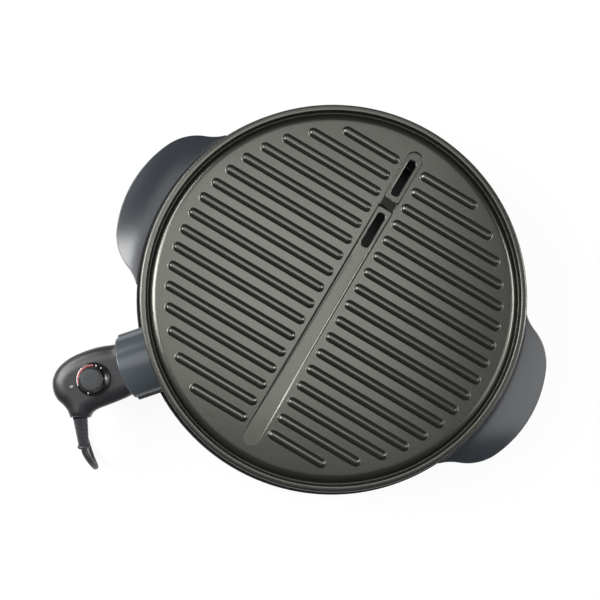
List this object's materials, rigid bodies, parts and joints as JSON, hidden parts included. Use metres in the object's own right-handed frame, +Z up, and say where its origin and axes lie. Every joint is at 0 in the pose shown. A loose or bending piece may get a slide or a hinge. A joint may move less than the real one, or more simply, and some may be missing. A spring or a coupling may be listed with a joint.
{
  "type": "electric table grill",
  "caption": "Round electric table grill with a ribbed lift-off plate, drain channel, bowl base with two wing handles, drip tray and plug-in heat control.",
  "frame": {"origin": "middle of the grill's outline without its cord, on the counter", "axes": "+X along the ribs and towards the right wing handle, +Y along the drain channel towards the drain slots, +Z up"},
  "size_m": [0.55, 0.5598, 0.105],
  "materials": {
    "black_phenolic": "gloss",
    "slate_plastic": "gloss",
    "probe_plastic": "satin",
    "dial_plastic": "satin",
    "grey_plastic": "satin",
    "lens_plastic": "gloss",
    "non_stick_casting": "satin",
    "bright_steel": "satin",
    "element_sheath": "matte",
    "pin_metal": "polished",
    "contact_brass": "satin",
    "ceramic": "matte",
    "rubber_black": "matte",
    "enamel_tray": "satin"
  },
  "bodies": {
    "base": {"base_shell": "black_phenolic", "left_handle": "slate_plastic", "right_handle": "slate_plastic", "handle_screws": "bright_steel", "heat_shield": "bright_steel", "shield_screws": "bright_steel", "rest_pads": "rubber_black", "rubber_feet": "rubber_black", "foot_screws": "bright_steel"},
    "tray": {"drip_tray": "enamel_tray"},
    "plate": {"grill_plate": "non_stick_casting", "heating_element": "element_sheath", "element_clips": "bright_steel", "clip_screws": "bright_steel", "terminal_bracket": "bright_steel", "bracket_screws": "bright_steel", "terminal_block": "ceramic", "terminal_pins": "pin_metal", "terminal_shroud": "slate_plastic", "shroud_screws": "bright_steel"},
    "heat_control": {"probe_upper_case": "probe_plastic", "probe_lower_case": "probe_plastic", "case_screws": "bright_steel", "sensor_rod": "bright_steel", "contact_sleeves": "contact_brass", "thermostat_frame": "bright_steel", "thermostat_blades": "contact_brass", "indicator_lens": "lens_plastic", "strain_relief": "rubber_black", "cord_clamp": "ceramic", "cord_lead": "rubber_black", "cord_hank": "rubber_black", "cord_tail": "rubber_black", "cord_tie": "rubber_black", "plug_body": "rubber_black", "plug_pins": "contact_brass"},
    "dial": {"control_dial": "dial_plastic", "dial_cap": "grey_plastic", "dial_shaft": "bright_steel"}
  },
  "joints": [
    {"name": "plate_lift", "type": "slide", "parent": "base", "child": "plate", "axis": [0, 0, 1], "range_m": [0, 0.08]},
    {"name": "heat_control_pull", "type": "slide", "parent": "plate", "child": "heat_control", "axis": [-0.6508, -0.7593, 0], "range_m": [0, 0.09]},
    {"name": "dial_turn", "type": "hinge", "parent": "heat_control", "child": "dial", "pos_m": [-0.19198, -0.1867, 0.08], "axis": [0, 0, 1], "range_deg": [-60, 210]},
    {"name": "tray_slide", "type": "slide", "parent": "base", "child": "tray", "axis": [0, 1, 0], "range_m": [0, 0.13]}
  ]
}
